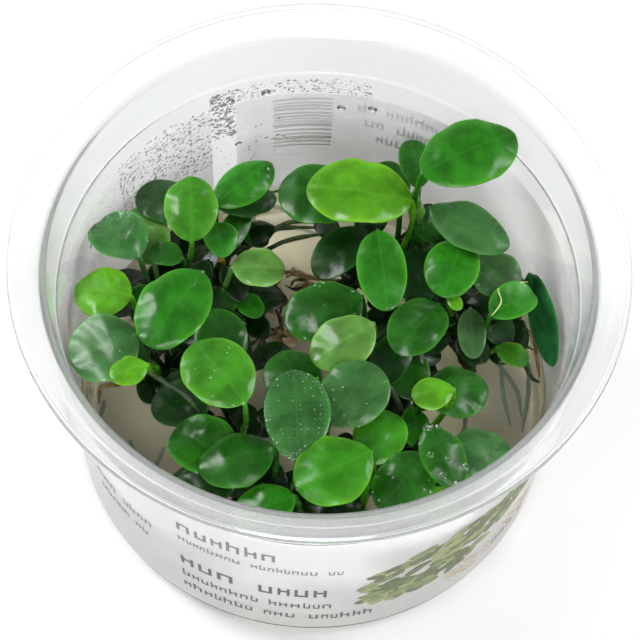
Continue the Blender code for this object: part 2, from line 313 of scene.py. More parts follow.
def vein_group():
    """Midrib and side veins of a leaf, from a map in mm along and across the blade."""
    group, start, end = new_group(
        "Leaf Veins",
        (("Spacing", "NodeSocketFloat", 1.5), ("Slant", "NodeSocketFloat", 0.75)),
        (("Midrib", "NodeSocketFloat"), ("Veins", "NodeSocketFloat")),
    )
    nodes, links = group.nodes, group.links
    place = nodes.new("ShaderNodeUVMap")
    place.uv_map = "blade_mm"
    split = nodes.new("ShaderNodeSeparateXYZ")
    links.new(place.outputs[0], split.inputs[0])
    offset = math_node(nodes, links, "SUBTRACT", split.outputs[1], VEIN_MAP_MIDDLE)
    side = math_node(nodes, links, "ABSOLUTE", offset)
    midrib = math_node(nodes, links, "SUBTRACT", 1.0, math_node(nodes, links, "DIVIDE", side, 0.35))
    midrib_out = math_node(nodes, links, "MAXIMUM", midrib, 0.0)
    slanted = math_node(nodes, links, "MULTIPLY", side, start.outputs["Slant"])
    run = math_node(nodes, links, "SUBTRACT", split.outputs[0], slanted)
    turns = math_node(nodes, links, "DIVIDE", run, start.outputs["Spacing"])
    wave = math_node(nodes, links, "PINGPONG", turns, 0.5)
    line = math_node(nodes, links, "SUBTRACT", 1.0, math_node(nodes, links, "DIVIDE", wave, 0.14))
    links.new(midrib_out, end.inputs["Midrib"])
    links.new(math_node(nodes, links, "MAXIMUM", line, 0.0), end.inputs["Veins"])
    return group


def mottle_group():
    """Soft blotches at two scales, as a mask round one half."""
    group, start, end = new_group(
        "Mottle",
        (("Size", "NodeSocketFloat", 400.0), ("Fine Size", "NodeSocketFloat", 2500.0)),
        (("Blotches", "NodeSocketFloat"), ("Grains", "NodeSocketFloat")),
    )
    nodes, links = group.nodes, group.links
    place = nodes.new("ShaderNodeTexCoord")
    for socket, detail, out in (("Size", 3.0, "Blotches"), ("Fine Size", 2.0, "Grains")):
        cloud = nodes.new("ShaderNodeTexNoise")
        cloud.inputs["Detail"].default_value = detail
        links.new(place.outputs["Object"], cloud.inputs["Vector"])
        links.new(start.outputs[socket], cloud.inputs["Scale"])
        links.new(cloud.outputs[0], end.inputs[out])
    return group


def new_material(name):
    material = bpy.data.materials.new(name)
    material.use_nodes = True
    return material, material.node_tree.nodes, material.node_tree.links


def colour(red, green, blue):
    return (red, green, blue, 1.0)


def leaf_material(name, body, margin, vein, veins, mottle):
    """Waxy leaf skin: a body colour with blotches, a lighter margin, a painted highlight along the very
    edge and pale veins.
    """
    material, nodes, links = new_material(f"leaf_{name}")
    shader = nodes["Principled BSDF"]
    vein_node = nodes.new("ShaderNodeGroup")
    vein_node.node_tree = veins
    mottle_node = nodes.new("ShaderNodeGroup")
    mottle_node.node_tree = mottle
    edge = nodes.new("ShaderNodeAttribute")
    edge.attribute_name = "margin"
    patch = nodes.new("ShaderNodeMapRange")
    mottle_node.inputs["Size"].default_value = 260.0
    patch.inputs["From Min"].default_value = 0.33
    patch.inputs["From Max"].default_value = 0.67
    links.new(mottle_node.outputs["Blotches"], patch.inputs["Value"])
    darker = colour(*(0.66 * c for c in body))
    skin = blend_colours(nodes, links, patch.outputs[0], darker, colour(*(1.28 * c for c in body)))
    outer = math_node(nodes, links, "POWER", edge.outputs["Fac"], 3.0)
    outer = math_node(nodes, links, "MULTIPLY", outer, 0.35)
    skin = blend_colours(nodes, links, outer, skin, colour(*margin))
    # Painted highlight: a thin band along the very edge, 1.3 times as bright as the margin colour, stands
    # in for light shining through the leaf's rim.
    rim = math_node(nodes, links, "POWER", edge.outputs["Fac"], 14.0)
    skin = blend_colours(nodes, links, rim, skin, colour(*(1.3 * c for c in margin)))
    side_veins = math_node(nodes, links, "MULTIPLY", vein_node.outputs["Veins"], 0.08)
    skin = blend_colours(nodes, links, side_veins, skin, colour(*vein))
    midrib = math_node(nodes, links, "MULTIPLY", vein_node.outputs["Midrib"], 0.3)
    skin = blend_colours(nodes, links, midrib, skin, colour(*vein))
    links.new(skin, shader.inputs["Base Color"])
    gloss = math_node(nodes, links, "MULTIPLY_ADD", patch.outputs[0], 0.14, 0.2)
    links.new(gloss, shader.inputs["Roughness"])
    bump = nodes.new("ShaderNodeBump")
    bump.inputs["Strength"].default_value = 0.35
    bump.inputs["Distance"].default_value = 0.00025
    links.new(mottle_node.outputs["Blotches"], bump.inputs["Height"])
    links.new(bump.outputs[0], shader.inputs["Normal"])
    shader.inputs["Specular IOR Level"].default_value = 0.3
    shader.inputs["Subsurface Weight"].default_value = 0.08
    shader.inputs["Subsurface Radius"].default_value = (0.0004, 0.0009, 0.0002)
    shader.inputs["Subsurface Scale"].default_value = 1.0
    return material


def bark_material(name, dark, light, mottle, roughness):
    """Rough skin of rhizomes and roots, in two browns or olives."""
    material, nodes, links = new_material(name)
    shader = nodes["Principled BSDF"]
    mottle_node = nodes.new("ShaderNodeGroup")
    mottle_node.node_tree = mottle
    mottle_node.inputs["Size"].default_value = 700.0
    patch = nodes.new("ShaderNodeMapRange")
    patch.inputs["From Min"].default_value = 0.38
    patch.inputs["From Max"].default_value = 0.62
    links.new(mottle_node.outputs["Blotches"], patch.inputs["Value"])
    skin = blend_colours(nodes, links, patch.outputs[0], colour(*dark), colour(*light))
    links.new(skin, shader.inputs["Base Color"])
    shader.inputs["Roughness"].default_value = roughness
    bump = nodes.new("ShaderNodeBump")
    bump.inputs["Strength"].default_value = 0.6
    bump.inputs["Distance"].default_value = 0.0003
    links.new(mottle_node.outputs["Grains"], bump.inputs["Height"])
    links.new(bump.outputs[0], shader.inputs["Normal"])
    return material


def clear_material(name, tint, roughness, ior, passed=1.0, absorb=None, density=0.0, ripple=None):
    """Clear stuff that lets lamps through: it shines and refracts, but casts no dark shadow."""
    material, nodes, links = new_material(name)
    shader = nodes["Principled BSDF"]
    shader.inputs["Base Color"].default_value = colour(*tint)
    shader.inputs["Roughness"].default_value = roughness
    shader.inputs["IOR"].default_value = ior
    shader.inputs["Transmission Weight"].default_value = passed
    if ripple is not None:
        ripples, size, distance = ripple
        ripple_node = nodes.new("ShaderNodeGroup")
        ripple_node.node_tree = ripples
        ripple_node.inputs["Size"].default_value = size
        bump = nodes.new("ShaderNodeBump")
        bump.inputs["Strength"].default_value = 0.5
        bump.inputs["Distance"].default_value = distance
        links.new(ripple_node.outputs["Blotches"], bump.inputs["Height"])
        links.new(bump.outputs[0], shader.inputs["Normal"])
    passing = nodes.new("ShaderNodeBsdfTransparent")
    passing.inputs["Color"].default_value = colour(*(0.7 + 0.3 * c for c in tint))
    path = nodes.new("ShaderNodeLightPath")
    mix = nodes.new("ShaderNodeMixShader")
    links.new(path.outputs["Is Shadow Ray"], mix.inputs[0])
    links.new(shader.outputs[0], mix.inputs[1])
    links.new(passing.outputs[0], mix.inputs[2])
    out = nodes["Material Output"]
    links.new(mix.outputs[0], out.inputs["Surface"])
    if absorb is not None:
        volume = nodes.new("ShaderNodeVolumeAbsorption")
        volume.inputs["Color"].default_value = colour(*absorb)
        volume.inputs["Density"].default_value = density
        links.new(volume.outputs[0], out.inputs["Volume"])
    return material


def plain_material(name, base, roughness, mottle=None, spread=0.1):
    """An opaque finish with a slight unevenness."""
    material, nodes, links = new_material(name)
    shader = nodes["Principled BSDF"]
    shader.inputs["Base Color"].default_value = colour(*base)
    shader.inputs["Roughness"].default_value = roughness
    if mottle is not None:
        mottle_node = nodes.new("ShaderNodeGroup")
        mottle_node.node_tree = mottle
        low = colour(*(c * (1.0 - spread) for c in base))
        tone = blend_colours(nodes, links, mottle_node.outputs["Blotches"], low, colour(*base))
        links.new(tone, shader.inputs["Base Color"])
    return material


def paper_material(mottle):
    """White paper that passes some light from behind."""
    material = plain_material("label_paper", (0.73, 0.72, 0.7), 0.45, mottle, 0.04)
    shader = material.node_tree.nodes["Principled BSDF"]
    shader.inputs["Subsurface Weight"].default_value = 1.0
    shader.inputs["Subsurface Radius"].default_value = (0.001, 0.001, 0.001)
    shader.inputs["Subsurface Scale"].default_value = 1.0
    return material


def gel_material(mottle):
    """Set gel, faintly yellow through its depth, with a soft unevenness on its face."""
    return clear_material(
        "nutrient_gel",
        (0.99, 0.95, 0.74),
        0.04,
        1.34,
        passed=0.75,
        absorb=(0.7, 0.65, 0.35),
        density=6.0,
        ripple=(mottle, 60.0, 0.0006),
    )


def make_finishes():
    veins = vein_group()
    mottle = mottle_group()
    finishes = {}
    for name, (body, margin, vein) in LEAF_COLOURS.items():
        finishes[name] = leaf_material(name, body, margin, vein, veins, mottle)
    for finish, (name, dark, light, roughness) in BARK_SKINS.items():
        finishes[finish] = bark_material(name, dark, light, mottle, roughness)
    for finish, (name, base) in INKS.items():
        finishes[finish] = plain_material(name, base, 0.5, mottle)
    finishes["cream"] = plain_material("cream_edge", (0.5, 0.6, 0.25), 0.5, mottle)
    finishes["paper"] = paper_material(mottle)
    finishes["cup"] = clear_material("clear_plastic", (0.875, 0.88, 0.885), 0.1, 1.45, passed=0.9)
    finishes["gel"] = gel_material(mottle)
    finishes["dew"] = clear_material("dew", (1.0, 1.0, 1.0), 0.08, 1.33)
    return finishes


# ---------------------------------------------------------------- shapes


def add_piece(name, mesh, material, replaced=None, smooth=True):
    if smooth:
        mesh.shade_smooth()
    mesh.materials.append(material)
    piece = bpy.data.objects.new(name, mesh)
    bpy.context.scene.collection.objects.link(piece)
    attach(piece, "root")
    if replaced is not None:
        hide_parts(replaced)
    return piece


def on_circle(radius, angle, height):
    """A place at an angle in radians round the cup's axis, from a radius and a height in mm."""
    return Vector((radius * math.cos(angle), radius * math.sin(angle), height)) * MM


def mesh_from(name, bm):
    bmesh.ops.recalc_face_normals(bm, faces=bm.faces)
    mesh = bpy.data.meshes.new(name)
    bm.to_mesh(mesh)
    bm.free()
    return mesh


def turned_mesh(name, profile, sides):
    """A closed turned body from half of its section, which starts and ends on the axis. Sizes in mm."""
    bm = bmesh.new()
    rings = []
    for radius, height in profile:
        if radius == 0.0:
            rings.append([bm.verts.new((0.0, 0.0, height * MM))])
            continue
        ring = []
        for i in range(sides):
            ring.append(bm.verts.new(on_circle(radius, 2.0 * math.pi * i / sides, height)))
        rings.append(ring)
    for first, second in zip(rings, rings[1:]):
        for i in range(sides):
            j = (i + 1) % sides
            near = (first[i % len(first)], first[j % len(first)])
            far = (second[j % len(second)], second[i % len(second)])
            bm.faces.new(list(dict.fromkeys(near + far)))
    return mesh_from(name, bm)


def rounded(points, radius, steps=4):
    """The same run of (radius, height) points with each inner corner rounded off, in mm."""
    result = [points[0]]
    for before, corner, after in zip(points, points[1:], points[2:]):
        back = Vector(before) - Vector(corner)
        ahead = Vector(after) - Vector(corner)
        reach = min(radius, 0.45 * back.length, 0.45 * ahead.length)
        first = Vector(corner) + back.normalized() * reach
        last = Vector(corner) + ahead.normalized() * reach
        for i in range(steps + 1):
            t = i / steps
            spot = first * (1 - t) ** 2 + Vector(corner) * 2 * t * (1 - t) + last * t ** 2
            result.append((spot.x, spot.y))
    result.append(points[-1])
    return result


def wall_radius(height):
    share = height / SHOULDER_HEIGHT
    return BASE_RADIUS + (SHOULDER_RADIUS - BASE_RADIUS) * share


def make_cup(finishes):
    inside = [
        (0.0, WALL),
        (wall_radius(WALL) - WALL - 1.2, WALL),
        (wall_radius(2.0) - WALL, 2.2),
        (SHOULDER_RADIUS - WALL, SHOULDER_HEIGHT + 0.2),
        (SHOULDER_RADIUS - WALL + 0.35, SHOULDER_HEIGHT + 0.6),
        (COLLAR_RADIUS - WALL, COLLAR_TOP + 0.6),
    ]
    rim = [
        (COLLAR_RADIUS + 0.2, 56.3),
        (STEP_RADIUS, 57.0),
        (STEP_RADIUS + 0.3, 57.4),
        (RIM_RADIUS - 0.4, CUP_HEIGHT),
        (RIM_RADIUS, CUP_HEIGHT - 0.3),
        (RIM_RADIUS, CUP_HEIGHT - LIP_DEPTH),
        (RIM_RADIUS - WALL, CUP_HEIGHT - LIP_DEPTH),
        (RIM_RADIUS - WALL, CUP_HEIGHT - WALL - 0.1),
        (STEP_RADIUS + 0.5, 56.5),
        (COLLAR_RADIUS + 0.5, 55.6),
    ]
    outside = [
        (COLLAR_RADIUS, COLLAR_TOP),
        (SHOULDER_RADIUS + 0.35, SHOULDER_HEIGHT),
        (SHOULDER_RADIUS, SHOULDER_HEIGHT - 0.4),
        (wall_radius(1.0), 1.0),
        (BASE_RADIUS - 1.0, 0.0),
        (0.0, 0.0),
    ]
    mesh = turned_mesh("cup_shell", rounded(inside + rim + outside, 0.4), CUP_SIDES)
    add_piece("cup_shell", mesh, finishes["cup"], "cup")


def make_gel(finishes):
    edge = wall_radius(GEL_TOP) - WALL - GEL_CLEARANCE
    foot = wall_radius(3.0) - WALL - GEL_CLEARANCE
    profile = [
        (0.0, GEL_TOP),
        (edge - 3.0, GEL_TOP),
        (edge - 1.2, GEL_TOP + 0.1),
        (edge, GEL_TOP + MENISCUS),
        (foot, 3.0),
        (foot - 1.4, WALL + GEL_CLEARANCE),
        (0.0, WALL + GEL_CLEARANCE),
    ]
    mesh = turned_mesh("gel_disc", rounded(profile, 0.8), GEL_SIDES)
    add_piece("gel_disc", mesh, finishes["gel"], "gel")


def band_mesh(name, start, end, low, high, lift, thickness, sides, rows=4):
    """A closed strip that hugs the cup's wall between two angles and two heights, in degrees and mm."""
    bm = bmesh.new()
    layers = []
    for depth in (lift, lift + thickness):
        grid = []
        for i in range(sides + 1):
            angle = math.radians(start + (end - start) * i / sides)
            column = []
            for j in range(rows + 1):
                height = low + (high - low) * j / rows
                column.append(bm.verts.new(on_circle(wall_radius(height) + depth, angle, height)))
            grid.append(column)
        layers.append(grid)
    for grid in layers:
        for i in range(sides):
            for j in range(rows):
                bm.faces.new((grid[i][j], grid[i + 1][j], grid[i + 1][j + 1], grid[i][j + 1]))
    inner, outer = layers
    for i in range(sides):
        for j in (0, rows):
            bm.faces.new((inner[i][j], inner[i + 1][j], outer[i + 1][j], outer[i][j]))
    for j in range(rows):
        for i in (0, sides):
            bm.faces.new((inner[i][j], inner[i][j + 1], outer[i][j + 1], outer[i][j]))
    return mesh_from(name, bm)


def make_label(finishes):
    mesh = band_mesh(
        "label_sheet",
        LABEL_GAP_END,
        360.0 + LABEL_GAP_START,
        LABEL_BOTTOM,
        LABEL_TOP,
        PAPER_LIFT,
        PAPER_THICKNESS,
        LABEL_SIDES,
    )
    add_piece("label_sheet", mesh, finishes["paper"], "label", smooth=False)


def print_block(bm, start, end, low, high, lift):
    """Adds one thin closed block of ink to the label, between two angles and two heights."""
    corners = []
    for depth in (lift, lift + INK_THICKNESS):
        for angle, height in ((start, low), (end, low), (end, high), (start, high)):
            spot = on_circle(wall_radius(height) + depth, math.radians(angle), height)
            corners.append(bm.verts.new(spot))
    inner, outer = corners[:4], corners[4:]
    bm.faces.new(inner)
    bm.faces.new(outer)
    for i in range(4):
        j = (i + 1) % 4
        bm.faces.new((inner[i], inner[j], outer[j], outer[i]))


# Made-up lines of words: start angle, end angle, low, high, ink and how far it stands off the wall.
PRINT_LINES = (
    (241, 268, 32.5, 36.5, "grey_ink", OUTER_INK_LIFT),
    (241, 279, 28, 30, "grey_ink", OUTER_INK_LIFT),
    (241, 276, 17.5, 22, "black_ink", OUTER_INK_LIFT),
    (241, 277, 12, 14.5, "black_ink", OUTER_INK_LIFT),
    (241, 287, 7, 9.5, "black_ink", OUTER_INK_LIFT),
    (320, 331, 9, 11.5, "grey_ink", OUTER_INK_LIFT),
    (214, 232, 24, 26.5, "grey_ink", OUTER_INK_LIFT),
    (215, 231, 19, 21, "grey_ink", OUTER_INK_LIFT),
    (62, 82, 37, 39.5, "faint_ink", INNER_INK_LIFT),
    (62, 80, 33, 35.5, "faint_ink", INNER_INK_LIFT),
    (64, 78, 29, 31.5, "faint_ink", INNER_INK_LIFT),
)
STRIPES_BOTTOM = 26.0
STRIPES_TOP = 39.5
STRIPES_START = 89.0
STRIPE_STEPS = 7
STRIPE_STEP = 2.0

# Letters, as shares of a letter's width or a line's height.
LETTER_WIDTHS = (0.45, 0.62)
STEM_SHARE = 0.24
BAR_SHARE = 0.14
SHORT_LETTER = 0.7
TALL_LETTERS = 0.25
LETTER_PITCH = 1.4
WORD_SPACE = 1.2


def print_words(bm, start, end, low, high, lift, rng):
    """Fills a line with made-up words: plain blocks of letter size that spell nothing."""
    angle = start
    letters = rng.randint(3, 8)
    while angle < end:
        height = high - low
        width = math.degrees(rng.uniform(*LETTER_WIDTHS) * height / wall_radius(low))
        stem = STEM_SHARE * width
        top = low + SHORT_LETTER * height
        bar = BAR_SHARE * height
        print_block(bm, angle, angle + stem, low, high if rng.random() < TALL_LETTERS else top, lift)
        print_block(bm, angle + width - stem, angle + width, low, top, lift)
        level = rng.choice((low, top - bar, 0.5 * (low + top)))
        print_block(bm, angle + stem, angle + width - stem, level, level + bar, lift)
        angle += width * LETTER_PITCH
        letters -= 1
        if letters == 0:
            angle += WORD_SPACE * width
            letters = rng.randint(3, 8)


def print_stripes(bm, rng):
    """Stripes of uneven weight, one above the other, that show faintly from inside the cup."""
    level = STRIPES_BOTTOM
    while level < STRIPES_TOP:
        thickness = rng.choice((0.35, 0.5, 0.9))
        for step in range(STRIPE_STEPS):
            start = STRIPES_START + STRIPE_STEP * step
            print_block(bm, start, start + STRIPE_STEP, level, level + thickness, INNER_INK_LIFT)
        level += thickness + rng.choice((0.4, 0.7))


def add_inks(inks, finishes):
    for name, bm in inks.items():
        mesh = mesh_from(f"printed_{name}", bm)
        add_piece(f"printed_{name}", mesh, finishes[name], smooth=False)


def make_print(finishes):
    """Made-up words where a maker would print them, on the near side and at the back."""
    rng = random.Random(11)
    inks = {name: bmesh.new() for name in ("black_ink", "grey_ink", "faint_ink")}
    for start, end, low, high, ink, lift in PRINT_LINES:
        print_words(inks[ink], start, end, low, high, lift, rng)
    print_stripes(inks["faint_ink"], rng)
    add_inks(inks, finishes)


# Picture of a clump that rises to the right, with strokes at its foot, in degrees and mm.
PATCH_SIDES = 10
PATCH_STEP = 0.0002
CLUMP_PATCHES = 230
CLUMP_START = 284.0
CLUMP_SPAN = 46.0
CLUMP_LOW = 18.0
CLUMP_RISE = 9.0
STROKES = 60
STROKES_START = 306.0
STROKES_END = 334.0
STROKES_LOW = 8.5
STROKES_SLOPE = 0.2
STROKE_WIDTH = 0.08


def printed_patch(bm, angle, height, long_side, short_side, slant, lift):
    """Adds a thin oval of ink to the label's outside, in degrees and mm, with a closed rim."""
    layers = []
    for depth in (lift, lift + INK_THICKNESS):
        ring = []
        for i in range(PATCH_SIDES):
            turn = 2.0 * math.pi * i / PATCH_SIDES
            u = long_side * math.cos(turn)
            v = short_side * math.sin(turn)
            across = u * math.cos(slant) - v * math.sin(slant)
            level = height + u * math.sin(slant) + v * math.cos(slant)
            radius = wall_radius(level) + depth
            ring.append(bm.verts.new(on_circle(radius, math.radians(angle) + across / radius, level)))
        layers.append(ring)
    inner, outer = layers
    bm.faces.new(inner)
    bm.faces.new(outer)
    for i in range(PATCH_SIDES):
        j = (i + 1) % PATCH_SIDES
        bm.faces.new((inner[i], inner[j], outer[j], outer[i]))


def make_printed_clump(finishes):
    """A faded picture of no plant in particular: plain ovals with a few strokes for roots."""
    rng = random.Random(7)
    inks = {name: bmesh.new() for name in ("leaf_ink_1", "leaf_ink_2", "leaf_ink_3", "ochre_ink")}
    for layer in range(CLUMP_PATCHES):
        share = rng.random()
        angle = CLUMP_START + CLUMP_SPAN * share
        middle = CLUMP_LOW + CLUMP_RISE * share
        spread = 3.5 + 5.5 * math.sin(math.pi * min(share + 0.15, 1.0))
        height = middle + rng.uniform(-spread, spread)
        ink = rng.choice(("leaf_ink_1", "leaf_ink_1", "leaf_ink_2", "leaf_ink_3"))
        slant = rng.uniform(-0.3, 0.9)
        size = rng.uniform(1.2, 2.3)
        lift = OUTER_INK_LIFT + PATCH_STEP * layer
        printed_patch(inks[ink], angle, height, size, size * 0.5, slant, lift)
    for _ in range(STROKES):
        angle = rng.uniform(STROKES_START, STROKES_END)
        height = STROKES_LOW + STROKES_SLOPE * (angle - STROKES_START) + rng.uniform(-2.0, 3.0)
        size = rng.uniform(1.5, 3.0)
        slant = rng.uniform(-1.2, -0.5)
        printed_patch(inks["ochre_ink"], angle, height, size, STROKE_WIDTH, slant, OUTER_INK_LIFT)
    add_inks(inks, finishes)


def bent_line(points, count):
    first, middle, last = (Vector(p) for p in points)
    line = []
    for i in range(count):
        t = i / (count - 1)
        line.append(first * (1 - t) ** 2 + middle * 2 * t * (1 - t) + last * t ** 2)
    return line


def smooth_line(points, per_span):
    """Points on a soft curve through every given point."""
    spots = [Vector(p) for p in points]
    spots = [spots[0] * 2 - spots[1]] + spots + [spots[-1] * 2 - spots[-2]]
    line = []
    for a, b, c, d in zip(spots, spots[1:], spots[2:], spots[3:]):
        for i in range(per_span):
            t = i / per_span
            bend = (2 * a - 5 * b + 4 * c - d) * t * t
            twist = (3 * b - a - 3 * c + d) * t ** 3
            line.append(0.5 * (2 * b + (c - a) * t + bend + twist))
    line.append(spots[-2])
    return line


def rod_body(bm, line, radii, sides, lumps=0.0, seed=0.0):
    """Adds a round rod with closed ends along a run of points, in mm, with a lumpy skin."""
    across = Vector((0.0, 0.0, 1.0))
    if abs((line[1] - line[0]).normalized().z) > 0.9:
        across = Vector((1.0, 0.0, 0.0))
    rings = []
    for i, (centre, radius) in enumerate(zip(line, radii)):
        along = (line[min(i + 1, len(line) - 1)] - line[max(i - 1, 0)]).normalized()
        across = (across - along * across.dot(along)).normalized()
        other = along.cross(across)
        ring = []
        for k in range(sides):
            angle = 2.0 * math.pi * k / sides
            spoke = across * math.cos(angle) + other * math.sin(angle)
            lump = 1.0 + lumps * noise.noise((centre + spoke * radius) * 0.9 + Vector((seed, 0.0, 0.0)))
            ring.append(bm.verts.new((centre + spoke * radius * lump) * MM))
        rings.append(ring)
    for first, second in zip(rings, rings[1:]):
        for k in range(sides):
            m = (k + 1) % sides
            bm.faces.new((first[k], first[m], second[m], second[k]))
    bm.faces.new(reversed(rings[0]))
    bm.faces.new(rings[-1])


def tapered(count, radius, start_share, end_share):
    """Radii that swell from one end share to the full radius and fall to the other."""
    radii = []
    for i in range(count):
        t = i / (count - 1)
        share = start_share + (1 - start_share) * min(1.0, t * 6.0)
        share = min(share, end_share + (1 - end_share) * min(1.0, (1 - t) * 3.0))
        radii.append(radius * share)
    return radii


# ---------------------------------------------------------------- leaves

UNDERGROWTH = 12
UNDERGROWTH_REACH = 37.0
PETIOLE_STEPS = 14
BLADE_STEPS = 30
LEAF_COLUMNS = 14
FOOT_PINCH = 0.14
HALF_BLADE = 0.2
GROOVE_DEPTH = 0.12
RIB_DEPTH = 0.28
SWELL = 0.65
PUCKER = 0.28
PUCKER_LENGTH = 2.3


def blade_share(step):
    """Share of the blade's length at a step, closer together at the foot and the tip."""
    return 0.5 - 0.5 * math.cos(math.pi * step / BLADE_STEPS)


def half_width(share, width):
    """Half of the blade's width at a share of its length: a round coin drawn in towards its foot."""
    return width * math.sqrt(max(share * (1.0 - share), 0.0)) * (1.0 - FOOT_PINCH * (1.0 - share) ** 4)


def leaf_line(foot, middle, heading, pitch, length):
    """Centres of the sections from the petiole's foot to the blade's tip, and the blade's forward way."""
    turn_angle = math.radians(heading)
    pitch_angle = math.radians(pitch)
    forward = Vector((math.cos(turn_angle), math.sin(turn_angle), 0.0)) * math.cos(pitch_angle)
    forward.z = math.sin(pitch_angle)
    start = Vector(middle) - forward * length / 2
    ground = Vector((foot[0], foot[1], FOOT_HEIGHT - 1.2))
    rise = start.z - ground.z
    lean = ground + Vector((0.0, 0.0, 0.5 * rise))
    stoop = start - forward * PETIOLE_SWING * rise - Vector((0.0, 0.0, 0.3 * rise))
    petiole = []
    for i in range(PETIOLE_STEPS):
        t = i / PETIOLE_STEPS
        near = ground * (1 - t) ** 3 + lean * 3 * t * (1 - t) ** 2
        petiole.append(near + stoop * 3 * t ** 2 * (1 - t) + start * t ** 3)
    blade = []
    for i in range(BLADE_STEPS + 1):
        share = blade_share(i)
        bow = 4.0 * BLADE_ARCH * length * share * (1.0 - share)
        blade.append(start + forward * length * share + Vector((0.0, 0.0, bow)))
    return petiole, blade


def leaf_habit(length, width, curl, rng):
    """What makes one leaf unlike the next: how its edge waves and how its blade leans and folds."""
    return {
        "length": length,
        "width": width,
        "curl": curl,
        "wave_turns": rng.uniform(1.2, 2.4),
        "wave_start": rng.uniform(0.0, 2.0 * math.pi),
        "wave_height": rng.uniform(0.01, 0.045) * width,
        "skew": rng.uniform(-0.06, 0.06),
        "fold": rng.uniform(-0.1, 0.16),
        "relief": min(width / 10.0, 1.0) ** 2,
    }


def section_size(step, share, blending, width):
    """Half width and half thickness of a leaf's section, in mm."""
    if share <= 0.0:
        stalk = PETIOLE_RADIUS * (1.25 - 0.35 * step / PETIOLE_STEPS)
        return stalk, stalk
    half = max(half_width(share, width), 0.9 * PETIOLE_RADIUS * (1.0 - share), 0.05)
    thick = HALF_BLADE + (PETIOLE_RADIUS * 0.9 - HALF_BLADE) * (1.0 - blending)
    return half, thick * min(1.0, 0.25 + (1.0 - share) / 0.03)


def blade_relief(side, spread, half, share, habit, below):
    """How far a point of the blade stands off its flat, in mm: curl, fold, waves, groove and rib."""
    bend = habit["curl"] * half * side * side + habit["fold"] * half * abs(side)
    wave = math.sin(habit["wave_start"] + 2.0 * math.pi * habit["wave_turns"] * share)
    ruffle = habit["wave_height"] * abs(side) ** 3 * wave * (1.0 if side > 0.0 else -0.8)
    along = share * habit["length"]
    swell = SWELL * noise.noise(Vector((spread * 0.3, along * 0.3, 7.0 * habit["wave_start"])))
    run = along - 0.75 * abs(spread)
    pucker = PUCKER * math.sin(2.0 * math.pi * run / PUCKER_LENGTH) * abs(side) * (1.0 - side * side)
    fullness = min(half_width(share, habit["width"]) / (0.5 * habit["width"]), 1.0)
    groove = -GROOVE_DEPTH * math.exp(-((spread / 0.45) ** 2)) * (1.0 - share)
    rib = -RIB_DEPTH * math.exp(-((spread / 0.4) ** 2)) * (1.0 - share) if below else 0.0
    return bend + (ruffle + (swell + pucker) * habit["relief"]) * fullness + groove + rib


def section_points(step, share, habit):
    """Points round one section, each with its way across, its height and its nearness to the margin."""
    blending = min(max((share + 0.02) / 0.1, 0.0), 1.0)
    half, thick = section_size(step, share, blending, habit["width"])
    points = []
    for k in range(2 * LEAF_COLUMNS):
        turn = math.pi * k / LEAF_COLUMNS
        side = math.cos(turn)
        rise = math.sin(turn)
        spread = half * side * (1.0 + habit["skew"] * (1.0 if side > 0.0 else -1.0) * blending)
        lift = thick * rise
        edge = 0.4
        if share > 0.0:
            lift += blade_relief(side, spread, half, share, habit, rise < 0.0) * blending
            edge = abs(side)
        points.append((spread, lift, edge))
    return points, blending


def join_sections(bm, rings, places, place):
    """Skins a run of sections and closes both ends, with each point's place on the vein map."""
    count = len(rings[0])
    for r in range(len(rings) - 1):
        for k in range(count):
            m = (k + 1) % count
            face = bm.faces.new((rings[r][k], rings[r][m], rings[r + 1][m], rings[r + 1][k]))
            spots = (places[r][k], places[r][m], places[r + 1][m], places[r + 1][k])
            for loop, spot in zip(face.loops, spots):
                loop[place].uv = spot
    bm.faces.new(reversed(rings[0]))
    bm.faces.new(rings[-1])


def leaf_mesh(name, foot, middle, heading, pitch, roll, length, width, curl, rng):
    """One loft from a round petiole to a thin cupped blade with a rib beneath."""
    petiole, blade = leaf_line(foot, middle, heading, pitch, length)
    centres = petiole + blade
    turn_angle = math.radians(heading)
    level = Vector((-math.sin(turn_angle), math.cos(turn_angle), 0.0))
    habit = leaf_habit(length, width, curl, rng)
    bm = bmesh.new()
    margin = bm.verts.layers.float.new("margin")
    place = bm.loops.layers.uv.new("blade_mm")
    rings = []
    places = []
    for i, centre in enumerate(centres):
        along = (centres[min(i + 1, len(centres) - 1)] - centres[max(i - 1, 0)]).normalized()
        share = blade_share(i - PETIOLE_STEPS) if i > PETIOLE_STEPS else 0.0
        points, blending = section_points(i, share, habit)
        across = (level - along * level.dot(along)).normalized()
        across = Matrix.Rotation(math.radians(roll) * blending, 3, along) @ across
        up = along.cross(across)
        ring = []
        for spread, lift, edge in points:
            vert = bm.verts.new((centre + across * spread + up * lift) * MM)
            vert[margin] = edge
            ring.append(vert)
        rings.append(ring)
        places.append([(share * length, VEIN_MAP_MIDDLE + spread) for spread, _, _ in points])
    join_sections(bm, rings, places, place)
    return mesh_from(name, bm)


def make_leaf(name, row, finishes, replaced=None):
    foot, middle, heading, pitch, roll, length, width, tone, curl = row
    rng = random.Random(name)
    mesh = leaf_mesh(name, foot, middle, heading, pitch, roll, length, width, curl, rng)
    add_piece(name, mesh, finishes[tone], replaced)


